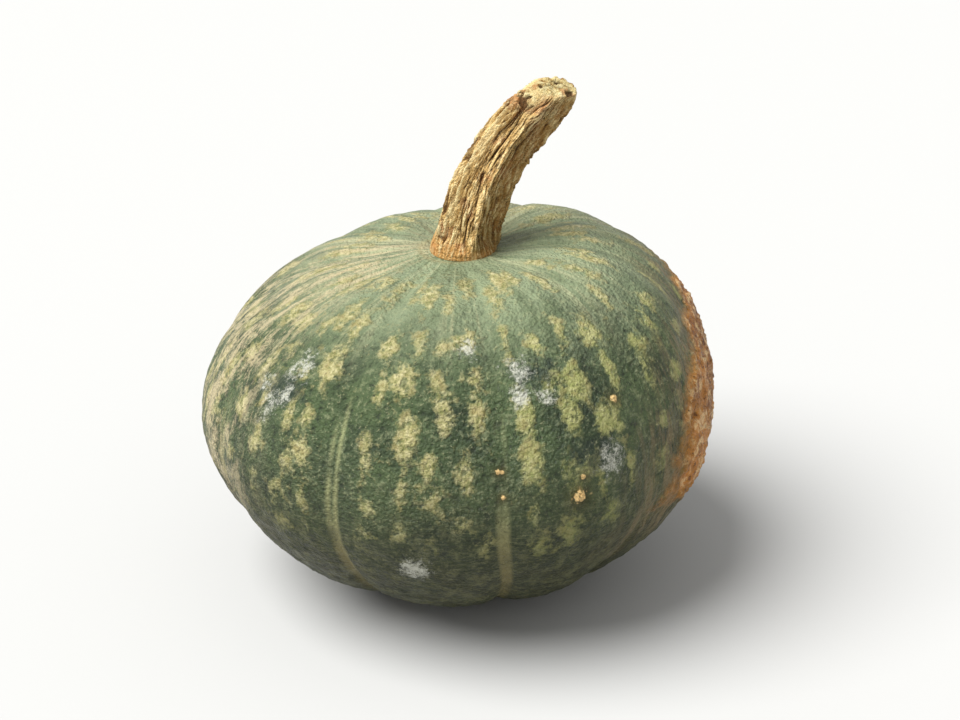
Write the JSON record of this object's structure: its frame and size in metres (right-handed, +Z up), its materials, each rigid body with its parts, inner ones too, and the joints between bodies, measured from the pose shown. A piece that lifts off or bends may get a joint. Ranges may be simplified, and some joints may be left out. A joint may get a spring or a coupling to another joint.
{
  "type": "kabocha squash",
  "caption": "Squat round winter squash with shallow ribs from crown to blossom end, standing on its pressed rib crowns, with a long bent dry stem cut across its tip.",
  "frame": {"origin": "on the surface the squash stands on, directly under the centre of its box, which is the fruit's core", "axes": "+Z up, -Y out of the fruit's front between two furrows, +X the way the stem leans and the higher shoulder"},
  "size_m": [0.1794, 0.1794, 0.1773],
  "materials": {
    "rind": "waxy mottled green rind, faintly pebbled, low sheen",
    "cork": "dry fibrous cork, deeply cracked lengthwise, matte"
  },
  "bodies": {
    "root": {"fruit": "rind", "stem": "cork"}
  },
  "joints": []
}
